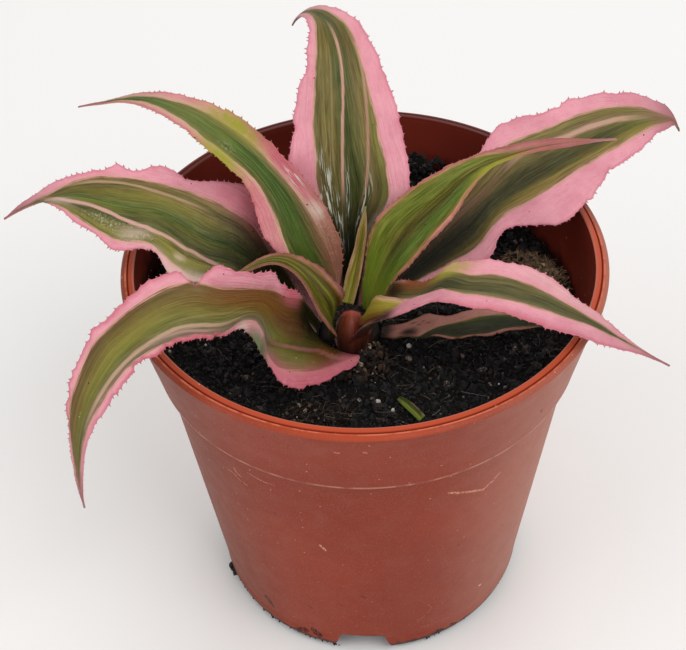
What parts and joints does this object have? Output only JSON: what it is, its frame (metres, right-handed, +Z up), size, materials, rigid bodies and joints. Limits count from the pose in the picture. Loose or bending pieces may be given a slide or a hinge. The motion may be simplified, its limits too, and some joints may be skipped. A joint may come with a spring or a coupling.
{
  "type": "potted bromeliad",
  "caption": "Low rosette of stiff, wavy leaves with toothed pink margins, growing from a short crown in dark mix in a round tapered plastic nursery pot.",
  "frame": {"origin": "under the middle of the whole plant's box, on the plane that the pot's foot ring stands on", "axes": "+Z up along the pot, +X to the right along the longest spread of the leaves, and -Y towards the front, where the curled front leaf and the nearest foot notch are"},
  "size_m": [0.1703, 0.12, 0.1529],
  "materials": {
    "nursery_pot": "satin, lightly scuffed and dusty moulded plastic",
    "potting_mix": "damp, crumbly dark peat with fibres and white grit",
    "crown": "dull fibrous stem skin",
    "leaf_back": "waxy leaf skin, green to olive with pale stripes and a pink margin",
    "leaf_upper_left": "waxy leaf skin, green to olive with pale stripes and a pink margin",
    "leaf_left": "waxy leaf skin, green to olive with pale stripes and a pink margin",
    "leaf_front_left": "waxy leaf skin, green to olive with pale stripes and a pink margin",
    "leaf_young_curled": "waxy leaf skin, green to olive with pale stripes and a pink margin",
    "leaf_right_back": "waxy leaf skin, green to olive with pale stripes and a pink margin",
    "leaf_right_inner": "waxy leaf skin, green to olive with pale stripes and a pink margin",
    "leaf_right_front": "waxy leaf skin, green to olive with pale stripes and a pink margin",
    "leaf_low_right": "waxy leaf skin, green to olive with pale stripes and a pink margin",
    "leaf_centre": "waxy leaf skin, green to olive with pale stripes and a pink margin",
    "soil_sprout": "fresh green leaf skin"
  },
  "bodies": {
    "root": {"nursery_pot": "nursery_pot", "potting_mix": "potting_mix", "crown": "crown", "leaf_back": "leaf_back", "leaf_upper_left": "leaf_upper_left", "leaf_left": "leaf_left", "leaf_front_left": "leaf_front_left", "leaf_young_curled": "leaf_young_curled", "leaf_right_back": "leaf_right_back", "leaf_right_inner": "leaf_right_inner", "leaf_right_front": "leaf_right_front", "leaf_low_right": "leaf_low_right", "leaf_centre": "leaf_centre", "soil_sprout": "soil_sprout"}
  },
  "joints": []
}
